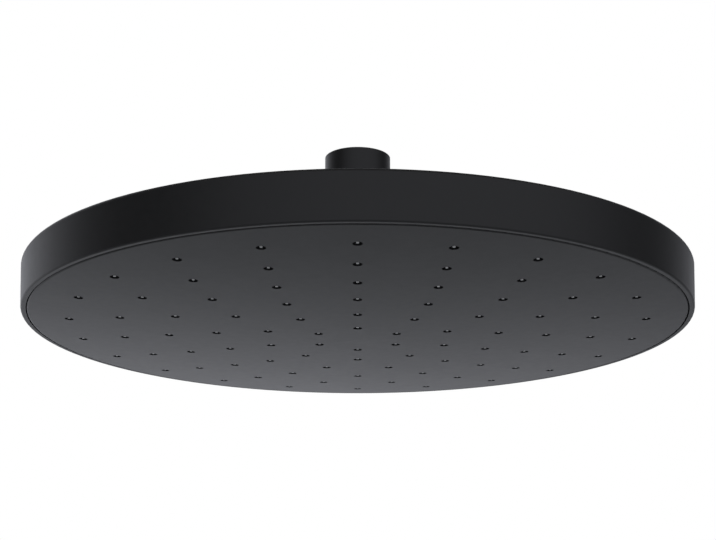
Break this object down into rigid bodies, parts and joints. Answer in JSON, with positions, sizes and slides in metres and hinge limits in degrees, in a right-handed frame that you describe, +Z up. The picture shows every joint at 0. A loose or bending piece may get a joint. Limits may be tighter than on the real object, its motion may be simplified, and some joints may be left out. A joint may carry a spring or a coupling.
{
  "type": "rain shower head",
  "caption": "Flat round rain shower head with a crowned spray face, soft nozzles in rings and a ball joint under a threaded inlet, for fixing to a shower arm.",
  "frame": {"origin": "middle of the inlet's mouth, on the inlet's axis", "axes": "+Z up along the inlet and out of its mouth, the spray face looks down, -Y is the side nearest the viewer"},
  "size_m": [0.2514, 0.2514, 0.0729],
  "materials": {
    "shell_plastic": "black moulded plastic, fine satin",
    "face_plastic": "black moulded plastic, satin",
    "inner_plastic": "black moulded plastic, plain",
    "nozzle_silicone": "pale grey silicone, soft",
    "black_metal": "turned brass with a satin black coat",
    "slip_plastic": "natural white slip plastic",
    "regulator_plastic": "pale moulded plastic",
    "seal_rubber": "black rubber",
    "steel": "plain stainless"
  },
  "bodies": {
    "inlet": {"ball_inlet": "black_metal", "flow_regulator": "regulator_plastic", "regulator_oring": "seal_rubber", "filter_screen": "steel", "inlet_washer": "seal_rubber"},
    "swivel_ring": {"ball_ring": "slip_plastic"},
    "head": {"body_shell": "shell_plastic", "face_plate": "face_plastic", "nozzle_mat": "nozzle_silicone", "chamber_cover": "inner_plastic", "face_screws": "steel", "socket_body": "black_metal", "socket_washer": "seal_rubber", "tail_oring": "seal_rubber", "ball_seal": "seal_rubber", "collar_nut": "black_metal"}
  },
  "joints": [
    {"name": "swivel", "type": "hinge", "parent": "inlet", "child": "swivel_ring", "pos_m": [0, 0, -0.03175], "axis": [0, 0, 1], "continuous": true},
    {"name": "tilt", "type": "hinge", "parent": "swivel_ring", "child": "head", "pos_m": [0, 0, -0.03175], "axis": [1, 0, 0], "range_deg": [-15, 15]}
  ]
}
